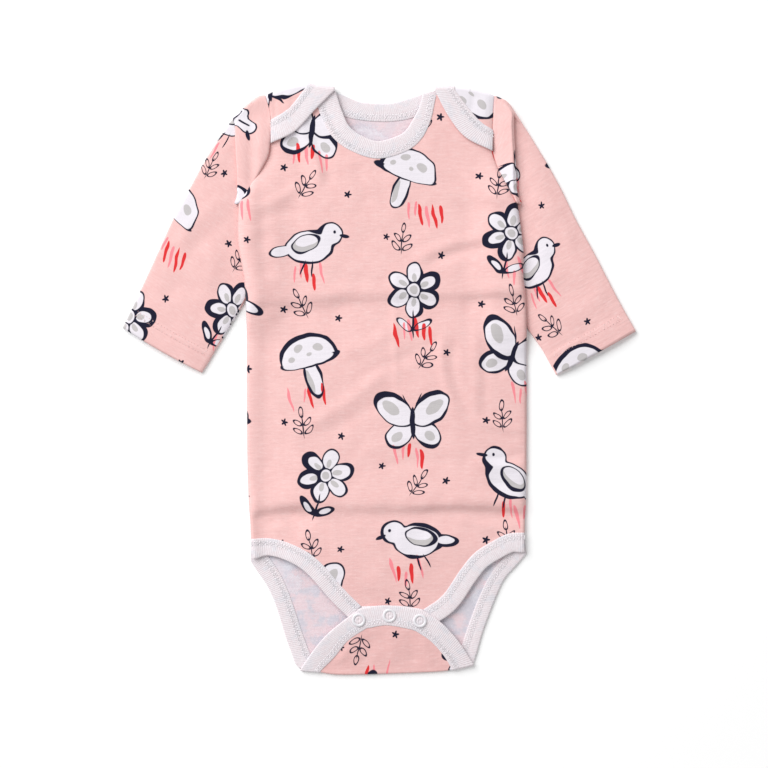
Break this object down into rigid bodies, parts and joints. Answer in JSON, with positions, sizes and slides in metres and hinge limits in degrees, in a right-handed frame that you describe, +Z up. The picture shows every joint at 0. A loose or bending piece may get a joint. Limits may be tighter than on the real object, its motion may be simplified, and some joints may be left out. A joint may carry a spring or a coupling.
{
  "type": "baby bodysuit",
  "caption": "Baby's long-sleeved knit bodysuit with rib-bound envelope neck and leg openings and a snap crotch, laid flat on its back.",
  "frame": {"origin": "on the flat underside of the back panel, in the middle of its width, about level with the waist: the plane the garment lies on", "axes": "+Y from the crotch to the neck, +Z up from the surface it lies on, +X to the right of someone looking down at the front"},
  "size_m": [0.3689, 0.4243, 0.0075],
  "materials": {
    "pink_print_knit": "printed cotton interlock, matt",
    "white_rib_binding": "cotton rib, matt",
    "snap_white": "enamelled ring snap, satin"
  },
  "bodies": {
    "root": {"back": "pink_print_knit", "front": "pink_print_knit", "sleeve_left": "pink_print_knit", "sleeve_right": "pink_print_knit", "neck_binding_front": "white_rib_binding", "neck_binding_back": "white_rib_binding", "leg_binding_front_left": "white_rib_binding", "leg_binding_front_right": "white_rib_binding", "leg_binding_back": "white_rib_binding", "tab_binding": "white_rib_binding", "snap_ring_left": "snap_white", "snap_ring_middle": "snap_white", "snap_ring_right": "snap_white"}
  },
  "joints": []
}
